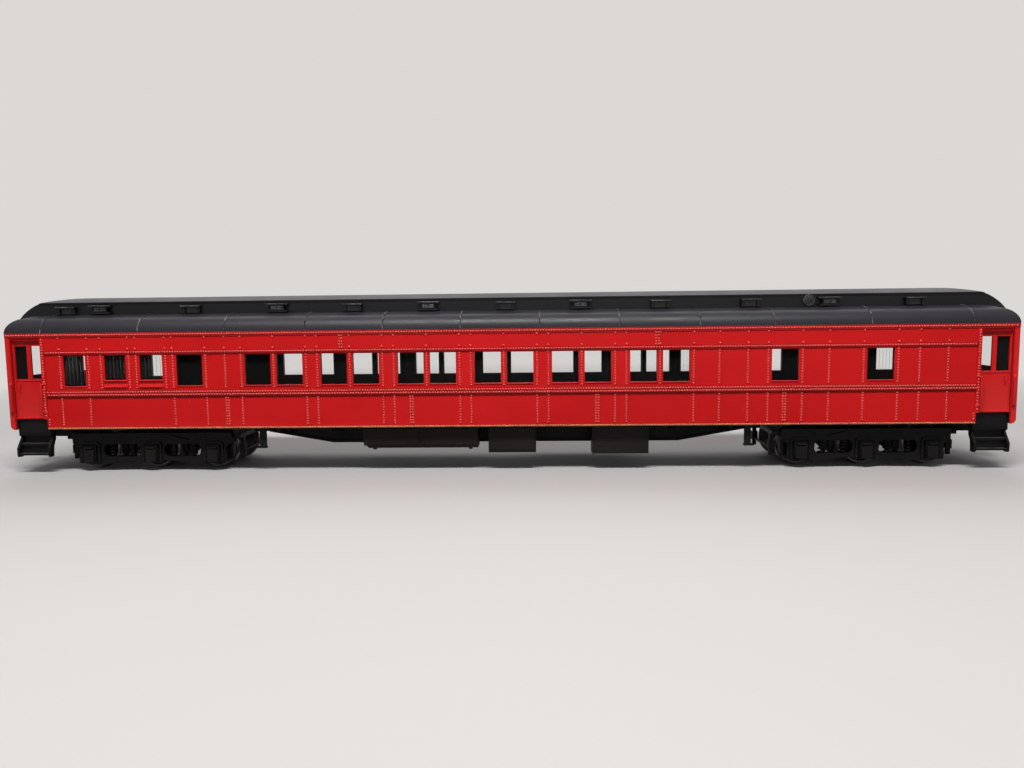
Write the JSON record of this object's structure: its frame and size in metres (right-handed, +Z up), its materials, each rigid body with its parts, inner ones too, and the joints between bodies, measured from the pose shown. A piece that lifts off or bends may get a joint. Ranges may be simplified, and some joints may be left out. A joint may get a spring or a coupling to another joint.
{
  "type": "model railway sleeping car",
  "caption": "Model railway passenger sleeping car with clerestory roof, riveted red sides, closed end vestibules and swivelling six-wheel trucks.",
  "frame": {"origin": "middle of the car at the bottoms of the wheel flanges, which is the floor it stands on", "axes": "+X along the car towards end B, +Y across it towards the far side, +Z up"},
  "size_m": [0.2968, 0.037, 0.0508],
  "materials": {
    "body_red": "satin painted plastic, bright oxide red",
    "roof_black": "satin charcoal black plastic",
    "underframe_black": "matt black plastic",
    "clear_glass": "clear styrene glazing",
    "fluted_glass": "vertically fluted styrene glazing",
    "wheel_metal": "turned metal, bright tread and darkened disc",
    "coupler_metal": "blackened cast metal",
    "weight_steel": "plain sheet steel",
    "screw_steel": "bright steel screw"
  },
  "bodies": {
    "car_body": {"air_reservoirs": "underframe_black", "ballast_weight": "weight_steel", "battery_locker": "underframe_black", "brake_cylinder": "underframe_black", "centre_sill": "underframe_black", "clear_window_panes": "clear_glass", "cross_bearers": "underframe_black", "end_diaphragms": "underframe_black", "end_door_panes": "clear_glass", "end_doors": "body_red", "end_wall_a": "body_red", "end_wall_b": "body_red", "exhaust_fans": "roof_black", "far_battery_locker": "underframe_black", "floor": "underframe_black", "fluted_window_panes": "fluted_glass", "grab_irons": "body_red", "ice_bunker": "underframe_black", "regulator_box": "underframe_black", "roof": "roof_black", "roof_ventilators": "roof_black", "side_wall_far": "body_red", "side_wall_near": "body_red", "truck_bolsters": "underframe_black", "truck_screws": "screw_steel", "underfloor_hangers": "underframe_black", "vestibule_door_panes": "clear_glass", "vestibule_side_doors": "body_red", "vestibule_steps": "underframe_black"},
    "wheelset_a1": {"axle_a1": "wheel_metal", "wheels_a1": "wheel_metal"},
    "wheelset_a2": {"axle_a2": "wheel_metal", "wheels_a2": "wheel_metal"},
    "wheelset_a3": {"axle_a3": "wheel_metal", "wheels_a3": "wheel_metal"},
    "wheelset_b1": {"axle_b1": "wheel_metal", "wheels_b1": "wheel_metal"},
    "wheelset_b2": {"axle_b2": "wheel_metal", "wheels_b2": "wheel_metal"},
    "wheelset_b3": {"axle_b3": "wheel_metal", "wheels_b3": "wheel_metal"},
    "coupler_a": {"coupler_a": "coupler_metal", "coupler_a_knuckle": "coupler_metal"},
    "coupler_b": {"coupler_b": "coupler_metal", "coupler_b_knuckle": "coupler_metal"},
    "truck_a": {"truck_a_frame": "underframe_black", "truck_a_journal_boxes": "underframe_black"},
    "truck_b": {"truck_b_frame": "underframe_black", "truck_b_journal_boxes": "underframe_black"}
  },
  "joints": [
    {"name": "truck_a_swivel", "type": "hinge", "parent": "car_body", "child": "truck_a", "pos_m": [-0.103, 0, 0.0095], "axis": [0, 0, 1], "range_deg": [-10, 10]},
    {"name": "coupler_a_swing", "type": "hinge", "parent": "truck_a", "child": "coupler_a", "pos_m": [-0.1365, 0, 0.0106], "axis": [0, 0, 1], "range_deg": [-6, 6]},
    {"name": "wheelset_a1_spin", "type": "hinge", "parent": "truck_a", "child": "wheelset_a1", "pos_m": [-0.08465, 0, 0.00595], "axis": [0, 1, 0], "continuous": true},
    {"name": "wheelset_a2_spin", "type": "hinge", "parent": "truck_a", "child": "wheelset_a2", "pos_m": [-0.103, 0, 0.00595], "axis": [0, 1, 0], "continuous": true},
    {"name": "wheelset_a3_spin", "type": "hinge", "parent": "truck_a", "child": "wheelset_a3", "pos_m": [-0.12135, 0, 0.00595], "axis": [0, 1, 0], "continuous": true},
    {"name": "truck_b_swivel", "type": "hinge", "parent": "car_body", "child": "truck_b", "pos_m": [0.103, 0, 0.0095], "axis": [0, 0, 1], "range_deg": [-10, 10]},
    {"name": "coupler_b_swing", "type": "hinge", "parent": "truck_b", "child": "coupler_b", "pos_m": [0.1365, 0, 0.0106], "axis": [0, 0, 1], "range_deg": [-6, 6]},
    {"name": "wheelset_b1_spin", "type": "hinge", "parent": "truck_b", "child": "wheelset_b1", "pos_m": [0.08465, 0, 0.00595], "axis": [0, 1, 0], "continuous": true},
    {"name": "wheelset_b2_spin", "type": "hinge", "parent": "truck_b", "child": "wheelset_b2", "pos_m": [0.103, 0, 0.00595], "axis": [0, 1, 0], "continuous": true},
    {"name": "wheelset_b3_spin", "type": "hinge", "parent": "truck_b", "child": "wheelset_b3", "pos_m": [0.12135, 0, 0.00595], "axis": [0, 1, 0], "continuous": true}
  ]
}
